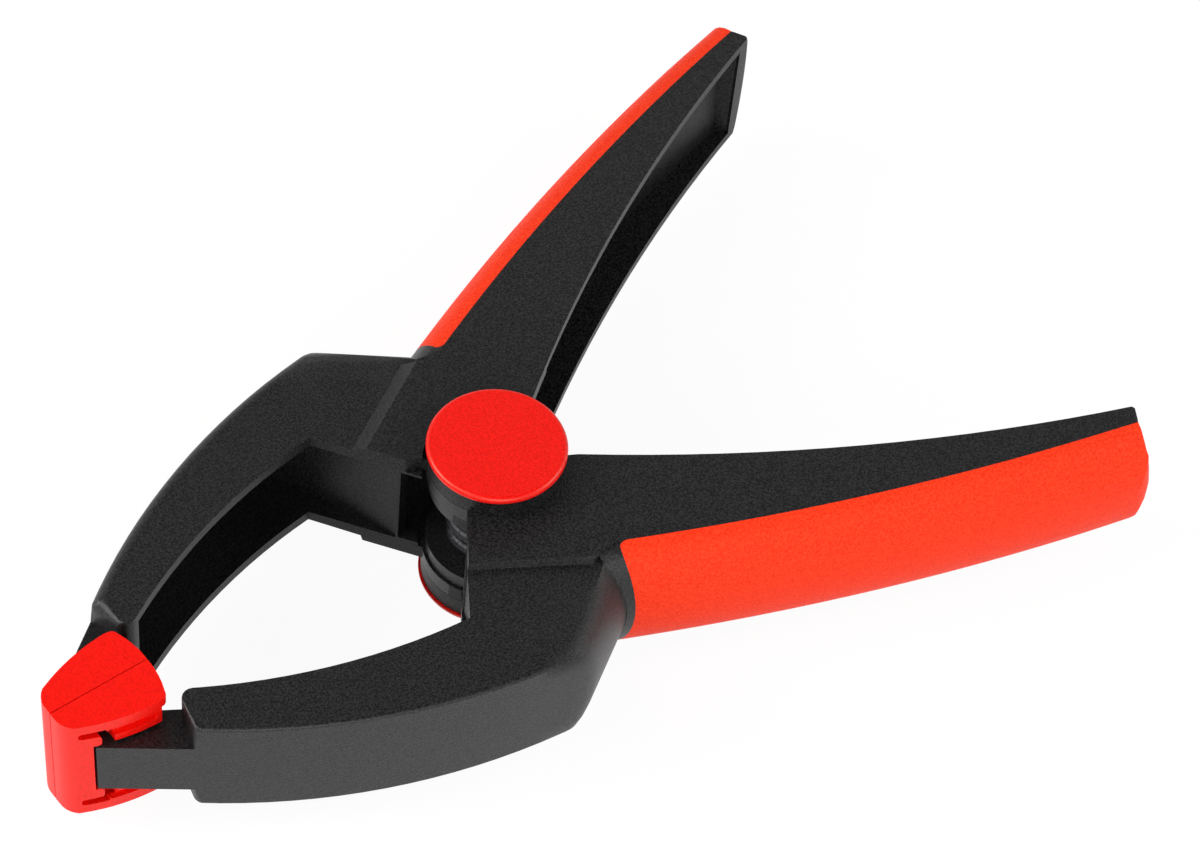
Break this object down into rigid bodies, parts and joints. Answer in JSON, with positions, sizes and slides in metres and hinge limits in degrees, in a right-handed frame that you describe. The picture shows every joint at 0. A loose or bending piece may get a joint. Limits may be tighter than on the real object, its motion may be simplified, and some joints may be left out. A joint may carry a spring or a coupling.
{
  "type": "spring clamp",
  "caption": "Hand spring clamp: sprung curved jaws with swivelling pads, worked by soft-grip handles about a common pivot.",
  "frame": {"origin": "on the pivot axis, at the flat outer face of the lower cap that the clamp lies on", "axes": "+Z along the pivot axis, upwards as the clamp lies flat; -X towards the jaws and +X towards the handles, in the plane that the two arms mirror each other about; +Y towards the arm that is the root body (right_arm)"},
  "size_m": [0.1965, 0.1294, 0.0374],
  "materials": {
    "black_nylon": "fine matt moulded grain",
    "soft_grip": "soft matt overmould",
    "pad_plastic": "satin moulded plastic",
    "cap_plastic": "smooth semi-gloss moulded plastic",
    "pin_steel": "turned, zinc plated",
    "washer_steel": "stamped, zinc plated",
    "ring_steel": "blackened spring steel",
    "spring_steel": "drawn spring wire, lightly oiled",
    "sleeve_plastic": "plain moulded plastic"
  },
  "bodies": {
    "right": {"right_arm": "black_nylon", "right_grip": "soft_grip", "bottom_collar": "black_nylon", "bottom_cap": "cap_plastic", "pivot_pin": "pin_steel", "spring_sleeve": "sleeve_plastic", "torsion_spring": "spring_steel", "top_washer": "washer_steel", "bottom_washer": "washer_steel", "top_retaining_ring": "ring_steel", "bottom_retaining_ring": "ring_steel"},
    "left": {"left_arm": "black_nylon", "left_grip": "soft_grip", "top_collar": "black_nylon", "top_cap": "cap_plastic"},
    "right_pad": {"right_pad": "pad_plastic"},
    "left_pad": {"left_pad": "pad_plastic"}
  },
  "joints": [
    {"name": "arm_hinge", "type": "hinge", "parent": "right", "child": "left", "pos_m": [0, 0, 0.0187], "axis": [0, 0, 1], "range_deg": [0, 54], "stiffness_Nm_per_rad": 3, "springref_deg": -57.3, "deforming": ["torsion_spring"]},
    {"name": "right_pad_swivel", "type": "hinge", "parent": "right", "child": "right_pad", "pos_m": [-0.081, 0.0046, 0.0187], "axis": [0, 0, 1], "range_deg": [0, 27]},
    {"name": "left_pad_swivel", "type": "hinge", "parent": "left", "child": "left_pad", "pos_m": [-0.081, -0.0046, 0.0187], "axis": [0, 0, 1], "range_deg": [-27, 0]}
  ],
  "couplings": [
    {"joint": "right_pad_swivel", "follows": "arm_hinge", "ratio": 0.5},
    {"joint": "left_pad_swivel", "follows": "arm_hinge", "ratio": -0.5}
  ]
}
